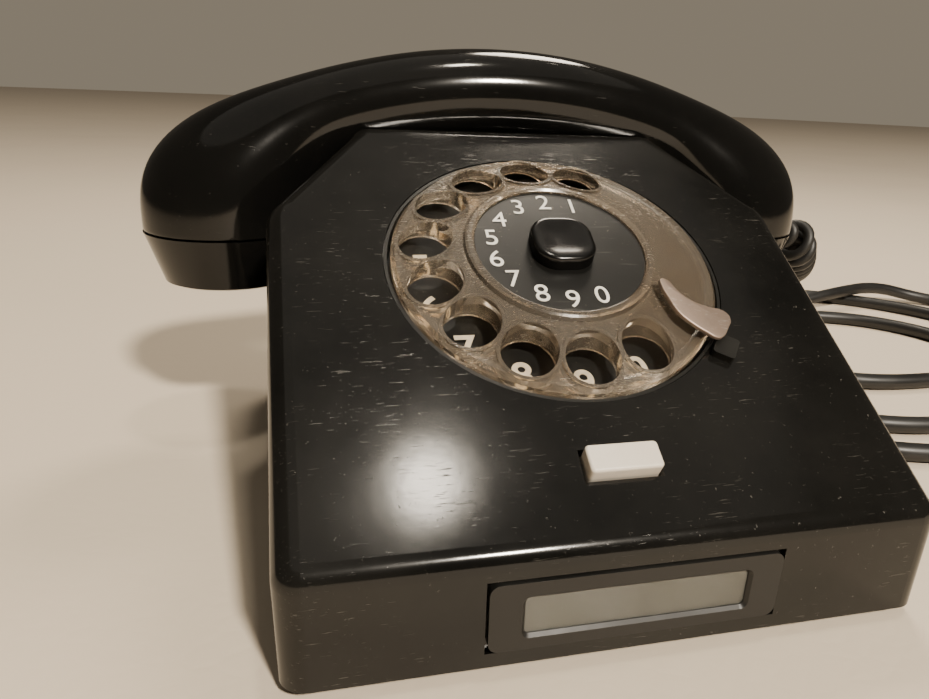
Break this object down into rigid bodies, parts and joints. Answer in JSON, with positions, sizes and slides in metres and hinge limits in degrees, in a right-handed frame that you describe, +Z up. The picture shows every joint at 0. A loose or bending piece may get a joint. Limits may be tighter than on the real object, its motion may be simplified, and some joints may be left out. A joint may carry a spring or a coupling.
{
  "type": "rotary dial desk telephone",
  "caption": "Desk telephone with a sloping dial face, clear finger wheel, ground key, label window and a handset resting across the top.",
  "frame": {"origin": "on the desk, under the middle of the telephone's box (cords and plug apart)", "axes": "+Z up, -Y out of the front face and towards the user, +X to the user's right along the handset"},
  "size_m": [0.4252, 0.3292, 0.1186],
  "materials": {
    "housing_black": "moulded phenolic, worn gloss",
    "handset_black": "moulded phenolic, polished",
    "clear_wheel": "clear acrylic, yellowed",
    "clear_pane": "clear acrylic",
    "dial_black": "satin",
    "knob_black": "gloss",
    "key_white": "ivory gloss",
    "frame_black": "satin",
    "card": "paper card",
    "stop_metal": "nickel plated, worn",
    "steel": "zinc plated",
    "brass": "satin",
    "copper_wire": "enamelled winding",
    "gong_metal": "nickel plated",
    "capacitor_case": "drawn can",
    "phenolic": "moulded",
    "capsule": "satin",
    "foot_rubber": "moulded",
    "cord_black": "satin sheath",
    "gland_rubber": "moulded",
    "plug_black": "moulded"
  },
  "bodies": {
    "base": {"housing": "housing_black", "label_pane": "clear_pane", "dial_case": "dial_black", "number_ring": "dial_black", "label_frame": "frame_black", "stop_bracket": "frame_black", "label_card": "card", "finger_stop": "stop_metal", "base_plate": "steel", "base_screws": "steel", "dial_clamp_ring": "steel", "dial_front_plate": "steel", "dial_rear_plate": "steel", "dial_pillars": "steel", "governor_drum": "steel", "return_spring": "steel", "hook_pin": "steel", "hook_post": "steel", "ringer_frame": "steel", "ringer_cores": "steel", "armature_pin": "steel", "induction_core": "steel", "gong_posts": "steel", "gong_nuts": "steel", "key_guide": "steel", "pulse_contacts": "brass", "key_contacts": "brass", "hook_contacts": "brass", "terminal_screws": "brass", "plug_blades": "brass", "ringer_coils": "copper_wire", "induction_winding": "copper_wire", "gongs": "gong_metal", "capacitor": "capacitor_case", "terminal_block": "phenolic", "feet": "foot_rubber", "line_cord": "cord_black", "curly_cord": "cord_black", "line_cord_gland": "gland_rubber", "curly_cord_gland": "gland_rubber", "plug": "plug_black"},
    "handset": {"handset_shell": "handset_black", "ear_cap": "handset_black", "mouth_cap": "handset_black", "receiver_capsule": "capsule", "transmitter_capsule": "capsule", "handset_grommet": "gland_rubber"},
    "cradle": {"cradle_plungers": "phenolic"},
    "hook_switch": {"hook_lever": "steel"},
    "dial": {"finger_wheel": "clear_wheel", "number_disc": "dial_black", "centre_knob": "knob_black", "dial_shaft": "steel", "main_gear": "brass", "pulse_cam": "brass"},
    "governor": {"governor_pinion": "brass", "governor_weights": "brass"},
    "ground_key": {"key_cap": "key_white", "key_spring": "steel"},
    "ringer_armature": {"clapper": "steel"}
  },
  "joints": [
    {"name": "handset_lift", "type": "slide", "parent": "base", "child": "handset", "axis": [0, 0, 1], "range_m": [0, 0.12]},
    {"name": "cradle_rise", "type": "slide", "parent": "base", "child": "cradle", "axis": [0, 0, 1], "range_m": [0, 0.004]},
    {"name": "hook_swing", "type": "hinge", "parent": "base", "child": "hook_switch", "pos_m": [0.026, 0.026, 0.06024], "axis": [1, 0, 0], "range_deg": [0, 8.03]},
    {"name": "dial_spin", "type": "hinge", "parent": "base", "child": "dial", "pos_m": [0, -0.01766, 0.06688], "axis": [0, -0.5075, 0.8616], "range_deg": [-330, 0], "stiffness_Nm_per_rad": 0.002, "springref_deg": 57.3},
    {"name": "governor_spin", "type": "hinge", "parent": "base", "child": "governor", "pos_m": [0.02235, -0.01156, 0.05654], "axis": [0, -0.5075, 0.8616], "range_deg": [-90, 1620]},
    {"name": "key_press", "type": "slide", "parent": "base", "child": "ground_key", "axis": [0, 0.5075, -0.8616], "range_m": [0, 0.0025], "stiffness_N_per_m": 300, "springref_m": -0.002},
    {"name": "clapper_swing", "type": "hinge", "parent": "base", "child": "ringer_armature", "pos_m": [0, 0.0135, 0.02], "axis": [0, 0, 1], "range_deg": [-2.5, 2.5], "stiffness_Nm_per_rad": 0.02}
  ],
  "couplings": [
    {"joint": "cradle_rise", "follows": "handset_lift", "ratio": 0.033333},
    {"joint": "hook_swing", "follows": "handset_lift", "rad_per_m": 1.1666},
    {"joint": "governor_spin", "follows": "dial_spin", "ratio": -4.5}
  ]
}
